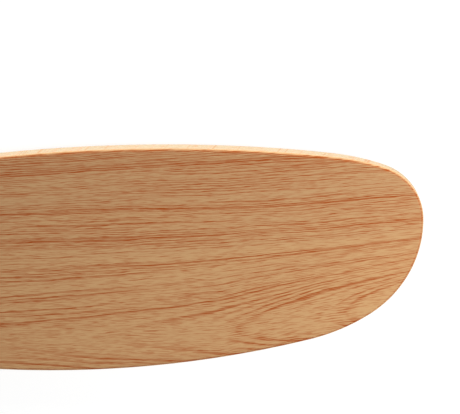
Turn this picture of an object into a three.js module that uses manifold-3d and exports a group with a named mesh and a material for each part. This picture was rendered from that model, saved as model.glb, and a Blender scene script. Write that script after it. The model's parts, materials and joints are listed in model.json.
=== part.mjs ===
// Wooden transfer board: a flat, boat-shaped sliding board made of cross-laminated plies.
// Millimetres, +Z up. The board lies on its underside: length along X, the flatter long
// edge towards +Y, the fuller long edge towards -Y, origin under the middle of its box.
import * as THREE from "three";
import { mergeVertices } from "three/addons/utils/BufferGeometryUtils.js";
import Module from "manifold-3d";

// Driving dimensions.
const LENGTH = 610;
const THICKNESS = 18;
const VENEER = 1.5; // each of the two show veneers
const CORE_PLIES = 11; // odd, so that the two outer core plies run the same way
const EDGE_RADIUS = 3; // round-over of the upper and the lower arris
const BEVEL_LENGTH = 105; // each end is thinned on the underside over this length
const BEVEL_RISE = 5; // how much thinner the tip is than the middle

// Half of the outline, from the middle of the +Y edge clockwise round the +X end:
// [radius, sweep in degrees]. The last arc closes on the middle of the -Y edge, and its
// radius follows from the others.
const OUTLINE_ARCS = [
  [1460, 8.8], // long flat edge
  [227, 12.3], // shoulder
  [54, 68.4], // tight corner
  [108, 59.3], // round end
  [180, 19.5], // run into the full edge
];
const ARC_STEPS = [4, 3, 11, 9, 4, 5];
const FILLET_STEPS = 3;

const wasm = await Module();
wasm.setup();

// The closed half outline as [x, y] points, starting at x = 0 on the +Y edge.
function halfOutline() {
  const points = [[0, 0]];
  let x = 0;
  let y = 0;
  let heading = 0;
  const walk = (radius, sweep, steps) => {
    for (let i = 0; i < steps; i++) {
      const turn = sweep / steps;
      const chord = 2 * radius * Math.sin(turn / 2);
      x += chord * Math.cos(heading - turn / 2);
      y += chord * Math.sin(heading - turn / 2);
      heading -= turn;
      points.push([x, y]);
    }
  };
  OUTLINE_ARCS.forEach(([radius, degrees], i) =>
    walk(radius, THREE.MathUtils.degToRad(degrees), ARC_STEPS[i]),
  );
  const remaining = Math.PI + heading;
  walk(x / Math.sin(remaining), remaining, ARC_STEPS.at(-1));
  points[points.length - 1][0] = 0;
  return points;
}

// The whole outline, anticlockwise, scaled to LENGTH and centred on its box.
function outline() {
  const half = halfOutline();
  const mirrored = half.slice(1, -1).map(([x, y]) => [-x, y]);
  const ring = [...half.reverse(), ...mirrored];
  const ys = ring.map((p) => p[1]);
  const middle = (Math.max(...ys) + Math.min(...ys)) / 2;
  const scale = LENGTH / 2 / Math.max(...ring.map((p) => p[0]));
  return ring.map(([x, y]) => new THREE.Vector2(x * scale, (y - middle) * scale));
}

// The outline moved inwards by a distance, along the normal at each point.
function insetOutline(points, distance) {
  const count = points.length;
  return points.map((p, i) => {
    const along = points[(i + 1) % count].clone().sub(points[(i + count - 1) % count]);
    const inward = new THREE.Vector2(-along.y, along.x).normalize();
    return p.clone().addScaledVector(inward, distance);
  });
}

// Inset and height of each ring of the rounded edge, from the underside to the top.
function edgeProfile() {
  const quarter = [];
  for (let i = 0; i <= FILLET_STEPS; i++) {
    const angle = ((i / FILLET_STEPS) * Math.PI) / 2;
    quarter.push([
      EDGE_RADIUS * (1 - Math.sin(angle)),
      EDGE_RADIUS * (1 - Math.cos(angle)),
    ]);
  }
  const upper = quarter.map(([inset, height]) => [inset, THICKNESS - height]);
  return [...quarter, ...upper.reverse()];
}

// One closed geometry through rings of equal length, with flat caps.
function loft(rings) {
  const count = rings[0].length;
  const positions = rings.flat().flatMap((p) => [p.x, p.y, p.z]);
  const index = [];
  for (let r = 0; r + 1 < rings.length; r++) {
    for (let i = 0; i < count; i++) {
      const a = r * count + i;
      const b = r * count + ((i + 1) % count);
      index.push(a, b, b + count, a, b + count, a + count);
    }
  }
  const top = (rings.length - 1) * count;
  const flat = rings[0].map((p) => new THREE.Vector2(p.x, p.y));
  for (const [a, b, c] of THREE.ShapeUtils.triangulateShape(flat, [])) {
    index.push(a, c, b, top + a, top + b, top + c);
  }
  const geometry = new THREE.BufferGeometry();
  geometry.setAttribute("position", new THREE.Float32BufferAttribute(positions, 3));
  geometry.setIndex(index);
  return geometry;
}

// A three.js geometry as a manifold-3d solid, and back.
function toSolid(geometry) {
  const bare = geometry.clone();
  bare.deleteAttribute("normal");
  bare.deleteAttribute("uv");
  const merged = mergeVertices(bare, 1e-4);
  return new wasm.Manifold(
    new wasm.Mesh({
      numProp: 3,
      vertProperties: merged.attributes.position.array,
      triVerts: new Uint32Array(merged.index.array),
    }),
  );
}

function toGeometry(solid) {
  const mesh = solid.getMesh();
  const geometry = new THREE.BufferGeometry();
  geometry.setAttribute("position", new THREE.BufferAttribute(mesh.vertProperties, 3));
  geometry.setIndex(new THREE.BufferAttribute(mesh.triVerts, 1));
  geometry.computeVertexNormals();
  return geometry;
}

// The full blank: rounded edges all round, before the ends are thinned.
function blank() {
  const ring = outline();
  const rings = edgeProfile().map(([inset, height]) =>
    insetOutline(ring, inset).map((p) => new THREE.Vector3(p.x, p.y, height)),
  );
  return toSolid(loft(rings));
}

// The wedge planed off the underside of one end; side is +1 or -1.
function bevelWedge(side) {
  const start = side * (LENGTH / 2 - BEVEL_LENGTH);
  const end = side * (LENGTH / 2 + BEVEL_LENGTH);
  const profile = new THREE.Shape([
    new THREE.Vector2(start, 0),
    new THREE.Vector2(end, 2 * BEVEL_RISE),
    new THREE.Vector2(end, -BEVEL_RISE),
    new THREE.Vector2(start, -BEVEL_RISE),
  ]);
  const wedge = new THREE.ExtrudeGeometry(profile, { depth: LENGTH, bevelEnabled: false });
  wedge.rotateX(Math.PI / 2);
  wedge.translate(0, LENGTH / 2, 0);
  return toSolid(wedge);
}

// Everything between two heights.
function layer(low, high) {
  const box = new THREE.BoxGeometry(2 * LENGTH, LENGTH, high - low);
  box.translate(0, 0, (low + high) / 2);
  return toSolid(box);
}

const board = blank().subtract(bevelWedge(1)).subtract(bevelWedge(-1));

const MATERIALS = {
  veneer: { color: 0xb5804f, roughness: 0.45, metalness: 0 },
  longPly: { color: 0xe6cda2, roughness: 0.6, metalness: 0 },
  crossPly: { color: 0xd9b988, roughness: 0.65, metalness: 0 },
};

// One ply or veneer of the board, as its own named mesh.
function sheet(name, low, high, finish) {
  const mesh = new THREE.Mesh(
    toGeometry(board.intersect(layer(low, high))),
    new THREE.MeshStandardMaterial(MATERIALS[finish]),
  );
  mesh.name = name;
  return mesh;
}

const assembly = new THREE.Group();

assembly.add(sheet("bottom_veneer", 0, VENEER, "veneer"));

const plyThickness = (THICKNESS - 2 * VENEER) / CORE_PLIES;
for (let i = 0; i < CORE_PLIES; i++) {
  const low = VENEER + i * plyThickness;
  const crosswise = i % 2 === 0;
  const number = String(i + 1).padStart(2, "0");
  assembly.add(
    sheet(
      `core_ply_${number}_${crosswise ? "cross" : "long"}`,
      low,
      low + plyThickness,
      crosswise ? "crossPly" : "longPly",
    ),
  );
}

assembly.add(sheet("top_veneer", THICKNESS - VENEER, THICKNESS, "veneer"));

export default assembly;
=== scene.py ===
# Wooden transfer board: the finished look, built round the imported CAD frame.
import json
import math

import bmesh
import bpy
from mathutils import Euler, Matrix, Vector


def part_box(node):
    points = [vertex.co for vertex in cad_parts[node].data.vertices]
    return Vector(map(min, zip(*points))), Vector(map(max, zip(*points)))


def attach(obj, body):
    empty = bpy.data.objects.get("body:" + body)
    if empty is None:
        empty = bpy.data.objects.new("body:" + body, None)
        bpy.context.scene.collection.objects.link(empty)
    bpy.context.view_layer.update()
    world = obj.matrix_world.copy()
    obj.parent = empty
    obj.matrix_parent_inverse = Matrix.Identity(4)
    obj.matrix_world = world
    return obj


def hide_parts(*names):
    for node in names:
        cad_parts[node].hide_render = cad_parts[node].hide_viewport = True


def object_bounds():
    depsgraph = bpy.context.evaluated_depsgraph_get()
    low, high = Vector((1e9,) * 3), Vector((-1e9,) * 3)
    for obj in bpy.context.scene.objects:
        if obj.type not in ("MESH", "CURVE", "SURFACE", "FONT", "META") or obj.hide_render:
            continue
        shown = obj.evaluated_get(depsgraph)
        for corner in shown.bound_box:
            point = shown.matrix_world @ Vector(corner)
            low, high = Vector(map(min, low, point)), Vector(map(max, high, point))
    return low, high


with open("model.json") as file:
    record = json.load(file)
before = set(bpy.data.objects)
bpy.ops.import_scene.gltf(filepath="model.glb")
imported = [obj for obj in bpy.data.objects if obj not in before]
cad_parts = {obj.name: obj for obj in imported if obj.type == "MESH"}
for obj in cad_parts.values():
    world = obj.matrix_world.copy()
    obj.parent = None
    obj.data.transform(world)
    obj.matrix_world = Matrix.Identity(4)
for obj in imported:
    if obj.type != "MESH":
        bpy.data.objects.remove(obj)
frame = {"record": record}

MM = 0.001
CAD_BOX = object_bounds()

# ---------------------------------------------------------------- sizes, in metres
HALF_LENGTH = CAD_BOX[1].x
THICKNESS = CAD_BOX[1].z
VENEER_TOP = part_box("top_veneer")[0].z
EDGE_RADIUS = 3 * MM
BEVEL_LENGTH = 105 * MM  # the ends are thinned on the underside over this length
BEVEL_RISE = 5 * MM
BEVEL_EASE = 12 * MM  # how softly the thinning sets in
BEVEL_LEAD = 4 * BEVEL_EASE  # and how far before the bevel it does

# Half of the outline, clockwise from the middle of the +Y edge: radius in mm and sweep in
# degrees. The last arc closes on the middle of the -Y edge.
OUTLINE_ARCS = ((1460, 8.8), (227, 12.3), (54, 68.4), (108, 59.3), (180, 19.5))
ARC_STEP = math.radians(0.4)

STATIONS = 180  # steps along the board, closer together towards the ends
CAP_ROWS = 24  # steps across each broad face
ROUND_STEPS = 8  # steps round each arris
WALL_ROWS = 6
CREASE_ANGLE = math.radians(12)  # sharper edges than this are shaded as edges


# ---------------------------------------------------------------- the board's surface
def half_outline():
    """Points of the +X half, from the middle of the +Y edge to the middle of the -Y edge."""
    points, x, y, heading = [(0.0, 0.0)], 0.0, 0.0, 0.0

    def walk(radius, sweep):
        nonlocal x, y, heading
        steps = max(2, round(sweep / ARC_STEP))
        turn = sweep / steps
        chord = 2 * radius * math.sin(turn / 2)
        for _ in range(steps):
            x += chord * math.cos(heading - turn / 2)
            y += chord * math.sin(heading - turn / 2)
            heading -= turn
            points.append((x, y))

    for radius, degrees in OUTLINE_ARCS:
        walk(radius * MM, math.radians(degrees))
    rest = math.pi + heading
    walk(x / math.sin(rest), rest)
    middle = (points[0][1] + points[-1][1]) / 2
    scale = HALF_LENGTH / max(p[0] for p in points)
    return [(px * scale, (py - middle) * scale) for px, py in points]


def edge_y_at(branch, x):
    """The outline's y at x, on a branch whose points run away from x = 0."""
    for (x0, y0), (x1, y1) in zip(branch, branch[1:]):
        if x <= x1:
            return y0 + (y1 - y0) * (x - x0) / (x1 - x0)
    return branch[-1][1]


def outline_ring():
    """The outline clockwise from the -X tip: one point a station on each long edge."""
    half = half_outline()
    tip = max(range(len(half)), key=lambda i: half[i][0])
    upper, lower = half[: tip + 1], half[tip:][::-1]
    xs = [-HALF_LENGTH * math.cos(math.pi * i / STATIONS) for i in range(STATIONS + 1)]
    top = [Vector((x, edge_y_at(upper, abs(x)))) for x in xs]
    bottom = [Vector((x, edge_y_at(lower, abs(x)))) for x in xs[1:-1]]
    return top + bottom[::-1]


def eased(over):
    """Close to 0 below 0 and to its argument above 0, with a soft bend between."""
    return (over + math.hypot(over, BEVEL_EASE)) / 2


def underside(x):
    """Height of the underside: flat, then planed up towards each tip."""
    over = abs(x) - (HALF_LENGTH - BEVEL_LENGTH)
    slope = BEVEL_RISE / BEVEL_LENGTH
    return slope * max(0.0, eased(over) - eased(-BEVEL_LEAD))


def edge_profile():
    """The rounded edge from the top down: how far in each row lies, how far it lies from the
    nearer face (None on the wall), and its share of the height."""
    quarter = []
    for i in range(ROUND_STEPS + 1):
        angle = math.pi / 2 * i / ROUND_STEPS
        quarter.append((EDGE_RADIUS * (1 - math.sin(angle)), EDGE_RADIUS * (1 - math.cos(angle))))
    upper = [(inset, depth, 1.0) for inset, depth in quarter]
    wall = [(0.0, None, 1 - i / WALL_ROWS) for i in range(1, WALL_ROWS)]
    lower = [(inset, depth, 0.0) for inset, depth in reversed(quarter)]
    return upper + wall + lower


def board_surface():
    """The whole board as one closed bmesh: rounded edge all round, a grid on each face."""
    ring = outline_ring()
    count = len(ring)
    inward = []
    for i in range(count):
        along = (ring[(i + 1) % count] - ring[i - 1]).normalized()
        inward.append(Vector((along.y, -along.x)))

    bm = bmesh.new()
    rows = []
    for inset, depth, share in edge_profile():
        row = []
        for p, n in zip(ring, inward):
            q = p + n * inset
            low = underside(q.x)
            if depth is None:
                z = low + EDGE_RADIUS + (THICKNESS - low - 2 * EDGE_RADIUS) * share
            else:
                z = THICKNESS - depth if share else low + depth
            row.append(bm.verts.new((q.x, q.y, z)))
        rows.append(row)
    for upper, lower in zip(rows, rows[1:]):
        for i in range(count):
            j = (i + 1) % count
            bm.faces.new((upper[i], upper[j], lower[j], lower[i]))

    def cap(row, is_top):
        strips = []
        for i in range(STATIONS + 1):
            a, b = row[i], row[-i % count]
            if a is b:
                strips.append([a])
                continue
            strip = [a]
            for k in range(1, CAP_ROWS):
                q = a.co.lerp(b.co, k / CAP_ROWS)
                strip.append(bm.verts.new((q.x, q.y, THICKNESS if is_top else underside(q.x))))
            strips.append(strip + [b])
        for left, right in zip(strips, strips[1:]):
            for k in range(CAP_ROWS):
                corners = []
                for v in (left[min(k, len(left) - 1)], right[min(k, len(right) - 1)],
                          right[min(k + 1, len(right) - 1)], left[min(k + 1, len(left) - 1)]):
                    if v not in corners:
                        corners.append(v)
                bm.faces.new(corners)

    cap(rows[0], True)
    cap(rows[-1], False)
    bmesh.ops.recalc_face_normals(bm, faces=bm.faces)
    return bm


def slice_between(surface, low, high):
    """The part of the board between two heights, closed where it was cut."""
    bm = surface.copy()
    for level, direction in ((low, -1), (high, 1)):
        if level <= 0 or level >= THICKNESS:
            continue
        cut = bmesh.ops.bisect_plane(
            bm,
            geom=bm.verts[:] + bm.edges[:] + bm.faces[:],
            plane_co=(0, 0, level),
            plane_no=(0, 0, direction),
            clear_outer=True,
        )
        edges = [e for e in cut["geom_cut"] if isinstance(e, bmesh.types.BMEdge) and e.is_boundary]
        bmesh.ops.holes_fill(bm, edges=edges)
    return bm


def sheet_piece(surface, node, low, high, material):
    """One veneer or ply, standing for its CAD node."""
    bm = slice_between(surface, low, high)
    bmesh.ops.recalc_face_normals(bm, faces=bm.faces)
    for face in bm.faces:
        face.smooth = True
    for edge in bm.edges:
        if edge.is_manifold and edge.calc_face_angle() > CREASE_ANGLE:
            edge.smooth = False
    mesh = bpy.data.meshes.new(node + "_sheet")
    bm.to_mesh(mesh)
    bm.free()
    piece = bpy.data.objects.new(node + "_sheet", mesh)
    bpy.context.scene.collection.objects.link(piece)
    mesh.materials.append(material)
    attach(piece, "root")
    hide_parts(node)
    return piece


# ---------------------------------------------------------------- node materials
SHEEN = 0.3  # of the wood itself
LACQUER_ROUGHNESS = 0.3


class Graph:
    """A material's node tree, with short calls for the nodes used here."""

    def __init__(self, name):
        self.material = bpy.data.materials.new(name)
        self.material.use_nodes = True
        self.tree = self.material.node_tree
        self.shader = self.tree.nodes["Principled BSDF"]

    def put(self, socket, value):
        if isinstance(value, bpy.types.NodeSocket):
            self.tree.links.new(value, socket)
        else:
            socket.default_value = value

    def math(self, operation, a, b=0.0, clamp=False):
        node = self.tree.nodes.new("ShaderNodeMath")
        node.operation = operation
        node.use_clamp = clamp
        for socket, value in zip(node.inputs, (a, b)):
            self.put(socket, value)
        return node.outputs[0]

    def add(self, *values):
        total = values[0]
        for value in values[1:]:
            total = self.math("ADD", total, value)
        return total

    def times(self, a, b):
        return self.math("MULTIPLY", a, b)

    def less(self, a, b):
        return self.math("SUBTRACT", a, b)

    def over(self, a, b):
        return self.math("DIVIDE", a, b)

    def size(self, a):
        return self.math("ABSOLUTE", a)

    def at_least(self, a, b):
        return self.math("MAXIMUM", a, b)

    def clamp(self, value):
        return self.math("ADD", value, 0.0, clamp=True)

    def step(self, value, low, high):
        """0 below low, 1 above high, smooth between."""
        node = self.tree.nodes.new("ShaderNodeMapRange")
        node.interpolation_type = "SMOOTHSTEP"
        for name, v in (("Value", value), ("From Min", low), ("From Max", high)):
            self.put(node.inputs[name], v)
        return node.outputs["Result"]

    def chart(self, value, stops):
        """A grey read off a list of (place, grey), straight between them."""
        first, last = stops[0][0], stops[-1][0]
        node = self.tree.nodes.new("ShaderNodeValToRGB")
        elements = node.color_ramp.elements
        elements.remove(elements[1])
        for i, (place, grey) in enumerate(stops):
            share = (place - first) / (last - first)
            element = elements[0] if i == 0 else elements.new(share)
            element.position = share
            element.color = (grey, grey, grey, 1.0)
        self.put(node.inputs["Fac"], self.over(self.less(value, first), last - first))
        return node.outputs["Color"]

    def noise(self, x, y, z, rates, detail=2.0, roughness=0.5):
        """Noise with so many features a millimetre along x, y and z. With only two rates, z
        is a seed."""
        where = self.tree.nodes.new("ShaderNodeCombineXYZ")
        for socket, value, rate in zip(where.inputs, (x, y, z), (*rates, 1.0)):
            self.put(socket, self.times(value, rate))
        node = self.tree.nodes.new("ShaderNodeTexNoise")
        self.put(node.inputs["Vector"], where.outputs[0])
        node.inputs["Scale"].default_value = 1.0
        node.inputs["Detail"].default_value = detail
        node.inputs["Roughness"].default_value = roughness
        return node.outputs["Fac"]

    def wander(self, x, y, seed, rates, reach):
        """Noise about 0, from -reach / 2 to reach / 2."""
        return self.times(self.less(self.noise(x, y, seed, rates), 0.5), reach)

    def mix(self, share, a, b):
        node = self.tree.nodes.new("ShaderNodeMix")
        node.data_type = "RGBA"
        self.put(node.inputs["Factor"], share)
        colours = [s for s in node.inputs if s.type == "RGBA"]
        for socket, value in zip(colours, (a, b)):
            self.put(socket, value if isinstance(value, bpy.types.NodeSocket) else (*value, 1.0))
        return next(s for s in node.outputs if s.type == "RGBA")

    def split(self, vector):
        node = self.tree.nodes.new("ShaderNodeSeparateXYZ")
        self.tree.links.new(vector, node.inputs[0])
        return node.outputs[:]

    def position(self):
        """x, y and z on the board, in millimetres."""
        where = self.tree.nodes.new("ShaderNodeTexCoord")
        return [self.times(s, 1 / MM) for s in self.split(where.outputs["Object"])]

    def facing(self, axis):
        """How squarely the surface faces along an axis, from 0 to 1."""
        normal = self.tree.nodes.new("ShaderNodeNewGeometry").outputs["Normal"]
        return self.size(self.split(normal)[axis])

    def finish(self, colour, roughness, height, relief, lacquer):
        """The material, with bumps of so many metres and so much satin lacquer."""
        self.put(self.shader.inputs["Base Color"], colour)
        self.put(self.shader.inputs["Roughness"], roughness)
        self.shader.inputs["Specular IOR Level"].default_value = SHEEN
        self.shader.inputs["Coat Weight"].default_value = lacquer
        self.shader.inputs["Coat Roughness"].default_value = LACQUER_ROUGHNESS
        node = self.tree.nodes.new("ShaderNodeBump")
        node.inputs["Strength"].default_value = 1.0
        node.inputs["Distance"].default_value = relief
        self.put(node.inputs["Height"], height)
        self.tree.links.new(node.outputs[0], self.shader.inputs["Normal"])
        return self.material


# ---------------------------------------------------------------- the veneers
# The log that the veneer was cut from, in mm. Its heart runs under the fuller edge and
# comes nearer the face towards +X, which opens the growth rings into long arches there.
HEART_Y = -75.0
HEART_DEPTH_SQ = 3388.0  # squared depth under the face at x = 0
HEART_DEPTH_SQ_LEAST = 20.0
HEART_TAPER = 3.13  # how the squared depth falls with x
HEART_CURVE = 0.01615  # and with x squared
HEART_TURN = 110.0  # beyond this x the heart bears off towards +Y
HEART_BEARING = 0.10
BEARING_NEAR = 25.0  # and takes the rings with it, fully this near to it
BEARING_FAR = 95.0  # and no longer this far
HEART_DIP = 4.1  # the rings on the -Y side of the heart close in towards -X
DIP_FULL = -12.0
DIP_START = -1.0

# The fibres follow the rings fully only this far from the heart, squared.
FLOW_WIDTH_SQ = 2025.0

# The middle rings lean by this much a millimetre of length.
RING_LEAN = 0.027
LEAN_MIDDLE = 128.0
LEAN_REACH = 50.0

# Slow and quick wandering of the heart's line: features a mm along x and y, and reach in mm.
DRIFT_RATES = (0.006, 0.015)
DRIFT_REACH = 8.0
RIPPLE_RATES = (0.03, 0.06)
RIPPLE_REACH = 2.4

# How dark the wood grew: distance from the heart in mm, and darkness from 0 to 1.
INNER_YEARS = (
    (40, 0.12), (41, 0.55), (42.5, 0.86), (44.5, 0.65), (46.5, 0.35), (49, 0.42), (51, 0.68),
    (52.3, 0.88), (53.2, 0.45), (54.7, 0.25), (56.1, 0.38), (57, 0.74), (57.7, 0.66),
    (58.4, 0.32), (59.1, 0.20), (59.6, 0.76), (60.2, 0.45), (61.4, 0.84), (63, 0.72),
    (65, 0.58), (67, 0.44), (70, 0.50), (71.5, 0.86), (73, 0.42), (75, 0.28), (78, 0.22),
)
OUTER_YEARS = (
    (78, 0.22), (80, 0.20), (84, 0.52), (89, 0.60), (90.5, 1.00), (92.5, 0.22), (97, 0.05),
    (102, 0.38), (109, 0.58), (112.5, 0.92), (116, 0.45), (133, 0.48), (136.5, 0.95),
    (140, 0.62), (147, 0.18), (153, 0.52), (168, 0.42), (174, 0.92), (177, 0.72), (190, 0.75),
)

WOOD_LIGHT = (0.558, 0.324, 0.146)
WOOD_WARM = (0.500, 0.290, 0.136)
WOOD_DARK = (0.35, 0.066, 0.004)
WORN = (0.70, 0.42, 0.20)

# Patches of darker and lighter wood, and the slow change of its tone across the rings.
PATCH_RATES = (0.014, 0.20)
PATCH_REACH = 0.5
PATCH_LEAN = 6.0  # keeps the patches off the noise's own grid
YEAR_CONTRAST = 0.9
LATE_RANGE = (0.78, 0.95)
CLOUD_RATES = (0.006, 0.05)
CLOUD_REACH = 120.0
TONE_RANGE = (20.0, 190.0)

# Strokes lie in uneven rows: each fades in and out along and across its row, and shows most
# where the wood is dark. The long lines fade where the rings lie flat in the face.
ROW_RATES = (0.005, 0.16)
ROW_UNEVENNESS = 2.4
ROW_SHIFT = 57.0
ROW_SPREAD = 7.3
STROKE_RISE = (0.30, 0.72)
STROKE_FALL = (0.78, 1.0)
STROKE_SHOWN = (0.52, 0.74)
STROKE_BAND_PULL = 0.28
LINES_PER_MM = 0.46
LINE_BREAKS = 0.006
DASHES_PER_MM = 0.66
DASH_BREAKS = 0.075
FLANK_RANGE = (0.05, 0.40)

PORE_RATES = (0.075, 1.15)
PORE_LEAN = 9.0
PORE_SHOWN = (0.46, 0.62)
PORE_MEAN = 0.30

# The turn of the surface away from the face, from 0 to 1, where painted shade darkens the
# veneer in a line along the brink of the face, and where the veneer is sanded thin.
BRINK_SHADE_START = (0.002, 0.04)
BRINK_SHADE_END = (0.10, 0.36)
THIN_RANGE = (0.06, 0.52)
DARK_STAYS = 0.16  # dark wood wears through a little later

# How much each feature darkens the wood.
LINE_DEPTH = 0.56
LATE_DEPTH = 0.28
DASH_DEPTH = 0.48
BAND_DEPTH = 0.10
# Painted shade: how dark the line along the brink of the face is.
BRINK_SHADE_DEPTH = 0.35
PORE_DEPTH = 0.46

VENEER_ROUGHNESS = 0.36
PORE_ROUGHNESS = 0.16
VENEER_BUMP = 0.6
VENEER_RELIEF = 0.06 * MM
VENEER_LACQUER = 0.12


def strokes(g, along, across, band, seed, per_mm, per_length):
    """Thin dark lines at an uneven spacing, each fading in and out along its length."""
    uneven = g.noise(along, across, seed, ROW_RATES)
    place = g.add(g.times(across, per_mm), g.times(uneven, ROW_UNEVENNESS))
    row = g.math("FLOOR", place)
    share = g.math("FRACT", place)
    start = g.add(along, g.times(row, ROW_SHIFT))
    strength = g.noise(start, row, seed + 1, (per_length, ROW_SPREAD), detail=1.0)
    shown = g.step(g.add(strength, g.times(band, STROKE_BAND_PULL)), *STROKE_SHOWN)
    return g.times(g.less(g.step(share, *STROKE_RISE), g.step(share, *STROKE_FALL)), shown)


def growth(g, x, y, seed):
    """The log's field in the veneer: distance out from the heart along the growth rings,
    place across the fibres, and how far the rings stand up to the face, from 0 to 1."""
    drift = g.wander(x, y, seed, DRIFT_RATES, DRIFT_REACH)
    ripple = g.wander(x, y, seed + 1, RIPPLE_RATES, RIPPLE_REACH)
    from_heart = g.less(y, HEART_Y)
    beyond = g.at_least(g.less(x, HEART_TURN), 0.0)
    near = g.less(1.0, g.step(from_heart, BEARING_NEAR, BEARING_FAR))
    bearing = g.times(g.times(beyond, -HEART_BEARING), near)
    across = g.add(from_heart, bearing, drift, ripple)

    across_sq = g.times(across, across)
    linear = g.times(x, HEART_TAPER)
    square = g.times(g.times(x, x), HEART_CURVE)
    behind = g.at_least(g.times(x, -1.0), 0.0)
    below = g.less(1.0, g.step(across, DIP_FULL, DIP_START))
    dip = g.times(g.times(behind, HEART_DIP), below)
    depth_sq = g.add(g.less(g.less(HEART_DEPTH_SQ, linear), square), dip)
    distance = g.math("SQRT", g.add(across_sq, g.at_least(depth_sq, HEART_DEPTH_SQ_LEAST)))
    off_middle = g.over(g.less(distance, LEAN_MIDDLE), LEAN_REACH)
    lean_share = g.at_least(g.less(1.0, g.times(off_middle, off_middle)), 0.0)
    ring = g.add(distance, g.times(g.times(x, RING_LEAN), lean_share))

    bend = g.times(g.less(g.add(linear, square), dip), 0.5)
    sag = g.over(g.times(bend, across), g.add(across_sq, FLOW_WIDTH_SQ))
    fibre = g.less(across, sag)
    flank = g.step(g.over(g.size(across), distance), *FLANK_RANGE)
    return ring, fibre, flank


def year_darkness(g, ring):
    """How dark the wood grew at a distance from the heart."""
    is_outer = g.math("GREATER_THAN", ring, OUTER_YEARS[0][0])
    inner = g.times(g.chart(ring, INNER_YEARS), g.less(1.0, is_outer))
    return g.add(inner, g.times(g.chart(ring, OUTER_YEARS), is_outer))


def veneer_material(name, seed):
    """Long-grained reddish-brown veneer: growth-ring bands, long dark lines, short dashes."""
    g = Graph(name)
    x, y, _ = g.position()
    ring, fibre, flank = growth(g, x, y, seed)
    year = year_darkness(g, ring)

    # Each noise has its own offset from the seed.
    patch_place = g.add(x, g.times(ring, PATCH_LEAN))
    patch = g.wander(patch_place, ring, seed + 2, PATCH_RATES, PATCH_REACH)
    late = g.step(year, *LATE_RANGE)
    band = g.clamp(g.add(g.times(g.less(year, 0.5), YEAR_CONTRAST), patch, 0.5))
    lines = strokes(g, x, ring, band, seed + 3, LINES_PER_MM, LINE_BREAKS)
    line = g.times(lines, flank)
    dash = strokes(g, x, fibre, band, seed + 20, DASHES_PER_MM, DASH_BREAKS)
    pore = g.noise(g.add(x, g.times(fibre, PORE_LEAN)), fibre, seed + 5, PORE_RATES)
    fleck = g.times(g.less(g.step(pore, *PORE_SHOWN), PORE_MEAN), PORE_DEPTH)

    # A line of painted shade darkens the veneer at the brink of the face; then the veneer is
    # sanded thin round the arris, where the pale core shows through.
    turned = g.less(1.0, g.facing(2))
    brink_shade = g.less(g.step(turned, *BRINK_SHADE_START), g.step(turned, *BRINK_SHADE_END))
    dark = g.clamp(
        g.add(
            g.times(line, LINE_DEPTH),
            g.times(late, LATE_DEPTH),
            g.times(dash, DASH_DEPTH),
            g.times(band, BAND_DEPTH),
            g.times(brink_shade, BRINK_SHADE_DEPTH),
            fleck,
        )
    )
    thin = g.step(g.add(turned, g.times(dark, -DARK_STAYS)), *THIN_RANGE)

    cloud = g.wander(x, ring, seed + 6, CLOUD_RATES, CLOUD_REACH)
    tone = g.step(g.add(ring, cloud), *TONE_RANGE)
    ground = g.mix(tone, WOOD_LIGHT, WOOD_WARM)
    colour = g.mix(thin, g.mix(dark, ground, WOOD_DARK), WORN)
    roughness = g.add(g.times(pore, PORE_ROUGHNESS), VENEER_ROUGHNESS)
    height = g.add(g.times(pore, VENEER_BUMP), g.times(dark, -VENEER_BUMP))
    return g.finish(colour, roughness, height, VENEER_RELIEF, VENEER_LACQUER)


# ---------------------------------------------------------------- the core plies
PLY_SIDE = (0.83, 0.69, 0.49)
PLY_END = (0.70, 0.50, 0.28)
PLY_STAIN = (0.80, 0.40, 0.20)
GLUE = (0.50, 0.33, 0.18)
PLY_COUNT = sum(n["node"].startswith("core_ply") for n in frame["record"]["subparts"])
CORE_LOW = (THICKNESS - VENEER_TOP) / MM
PLY_PITCH = (VENEER_TOP / MM - CORE_LOW) / PLY_COUNT

# Fibres: features a millimetre along x, y and z, but fewer along the fibres themselves.
FIBRE_RATES = (1.6, 1.6, 2.6)
FIBRE_RATE_ALONG = 0.06
FIBRE_SHOWN = (0.45, 0.8)
FIBRE_DEPTH = 0.45
END_GRAIN_RANGE = (0.25, 0.95)

# Reddish stains: fine slanted streaks in clusters, and softer blots.
STAIN_LEAN = 0.3  # how far they lean over towards -X as they rise
STREAK_RATES = (0.30, 0.02)
STREAK_SHOWN = (0.55, 0.62)
CLUSTER_RATES = (0.03, 0.02)
CLUSTER_SHOWN = (0.38, 0.52)
BLOT_RATES = (0.10, 0.40)
BLOT_SHOWN = (0.56, 0.66)
BLOT_DEPTH = 0.6

BLUSH_RANGE = (0.12, 0.60)  # the arris is as warm as the worn veneer above it
SEAM_RANGE = (0.86, 0.99)  # from the middle of a ply at 0 to its glued face at 1
SEAM_DEPTH = 0.5

PLY_ROUGHNESS = 0.42
FIBRE_ROUGHNESS = 0.2
PLY_BUMP = 0.8
PLY_RELIEF = 0.08 * MM
PLY_LACQUER = 0.2


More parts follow.
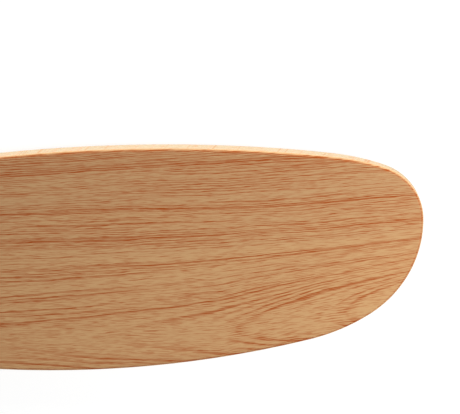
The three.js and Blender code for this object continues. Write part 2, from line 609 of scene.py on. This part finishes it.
def ply_material(name, fibre_axis, seed):
    """Pale core ply: smooth long grain on the sides that run with it, darker end grain."""
    g = Graph(name)
    x, y, z = g.position()
    end_grain = g.step(g.facing(fibre_axis), *END_GRAIN_RANGE)
    rates = list(FIBRE_RATES)
    rates[fibre_axis] = FIBRE_RATE_ALONG
    fibres = g.noise(x, y, g.add(z, seed), rates, detail=3.0, roughness=0.6)

    slant = g.add(x, g.times(z, STAIN_LEAN))
    streaks = g.noise(slant, y, seed, STREAK_RATES, roughness=0.6)
    clusters = g.noise(slant, y, seed + 1, CLUSTER_RATES, detail=1.0)
    blots = g.noise(x, g.add(y, z), seed + 2, BLOT_RATES)
    streak = g.times(g.step(streaks, *STREAK_SHOWN), g.step(clusters, *CLUSTER_SHOWN))
    stain = g.at_least(streak, g.times(g.step(blots, *BLOT_SHOWN), BLOT_DEPTH))

    blush = g.step(g.facing(2), *BLUSH_RANGE)
    level = g.math("FRACT", g.over(g.less(z, CORE_LOW), PLY_PITCH))
    seam = g.step(g.times(g.size(g.less(level, 0.5)), 2.0), *SEAM_RANGE)

    ground = g.mix(end_grain, PLY_SIDE, PLY_END)
    grained = g.mix(g.times(g.step(fibres, *FIBRE_SHOWN), FIBRE_DEPTH), ground, PLY_END)
    stained = g.mix(stain, g.mix(blush, grained, WORN), PLY_STAIN)
    colour = g.mix(g.times(seam, SEAM_DEPTH), stained, GLUE)
    roughness = g.add(g.times(fibres, FIBRE_ROUGHNESS), PLY_ROUGHNESS)
    height = g.add(g.times(seam, -PLY_BUMP), g.times(fibres, PLY_BUMP))
    return g.finish(colour, roughness, height, PLY_RELIEF, PLY_LACQUER)


# ---------------------------------------------------------------- the pieces
def build_board():
    surface = board_surface()
    top = veneer_material("veneer_top", seed=3.0)
    bottom = veneer_material("veneer_bottom", seed=41.0)
    long_ply = ply_material("ply_long", fibre_axis=0, seed=7.0)
    cross_ply = ply_material("ply_cross", fibre_axis=1, seed=19.0)
    finishes = {"long_ply": long_ply, "cross_ply": cross_ply}
    for entry in frame["record"]["subparts"]:
        node, slot = entry["node"], entry["material_slot"]
        low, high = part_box(node)[0].z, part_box(node)[1].z
        material = finishes.get(slot) or (top if node == "top_veneer" else bottom)
        sheet_piece(surface, node, low, high, material)
    surface.free()


# ---------------------------------------------------------------- floor, light, camera
WHITE = (1, 1, 1, 1)
FLOOR_SIZE = 12
FLOOR_GREY = (0.3, 0.3, 0.3, 1)
FLOOR_ROUGHNESS = 0.9
FLOOR_GLOW = 0.78
STUDIO_GLOW = 0.325

# Each lamp: where it hangs, where it points, its width, and its power in watts.
LAMPS = {
    "rim_light": ((0.3, 2.3, 0.45), (0.1, 0, 0), 1.2, 66),
    "fill_light": ((-0.2, -2.2, 0.5), (0, 0, 0), 1.2, 11),
    "end_light": ((0.8, -0.1, 0.6), (0.25, 0, 0), 0.5, 6.4),
}

# The camera looks nearly square on to the sliding face, from a little beyond the +Y edge.
CAMERA_TURN = (0.300, 0.0298, 0.046)  # tilt, swing and roll
CAMERA_AIM = (0.1248, 0.0474, THICKNESS)
CAMERA_DISTANCE = 2.3177
CAMERA_LENS = 195.65
SENSOR_WIDTH = 36


def build_floor():
    bpy.ops.mesh.primitive_plane_add(size=FLOOR_SIZE)
    floor = bpy.context.object
    floor.name = "floor"
    g = Graph("floor")
    g.shader.inputs["Base Color"].default_value = FLOOR_GREY
    g.shader.inputs["Roughness"].default_value = FLOOR_ROUGHNESS
    g.shader.inputs["Emission Color"].default_value = WHITE
    g.shader.inputs["Emission Strength"].default_value = FLOOR_GLOW
    floor.data.materials.append(g.material)
    floor.visible_diffuse = False
    floor.visible_glossy = False


def soft_light(name, place, target, size, power):
    data = bpy.data.lights.new(name, "AREA")
    data.shape = "DISK"
    data.size = size
    data.energy = power
    lamp = bpy.data.objects.new(name, data)
    bpy.context.scene.collection.objects.link(lamp)
    lamp.location = place
    lamp.visible_glossy = False
    lamp.rotation_euler = (Vector(target) - Vector(place)).to_track_quat("-Z", "Y").to_euler()


def build_light():
    world = bpy.data.worlds.new("studio")
    world.use_nodes = True
    background = world.node_tree.nodes["Background"]
    background.inputs["Color"].default_value = WHITE
    background.inputs["Strength"].default_value = STUDIO_GLOW
    bpy.context.scene.world = world
    for name, (place, target, size, power) in LAMPS.items():
        soft_light(name, place, target, size, power)


def build_camera():
    turn = Euler(CAMERA_TURN, "XYZ").to_matrix().transposed()
    place = Vector(CAMERA_AIM) + turn @ Vector((0, 0, CAMERA_DISTANCE))
    data = bpy.data.cameras.new("camera")
    data.lens = CAMERA_LENS
    data.sensor_width = SENSOR_WIDTH
    camera = bpy.data.objects.new("camera", data)
    bpy.context.scene.collection.objects.link(camera)
    camera.matrix_world = Matrix.Translation(place) @ turn.to_4x4()
    bpy.context.scene.camera = camera
    bpy.context.scene.view_settings.view_transform = "Standard"


build_camera()
build_board()
build_floor()
build_light()
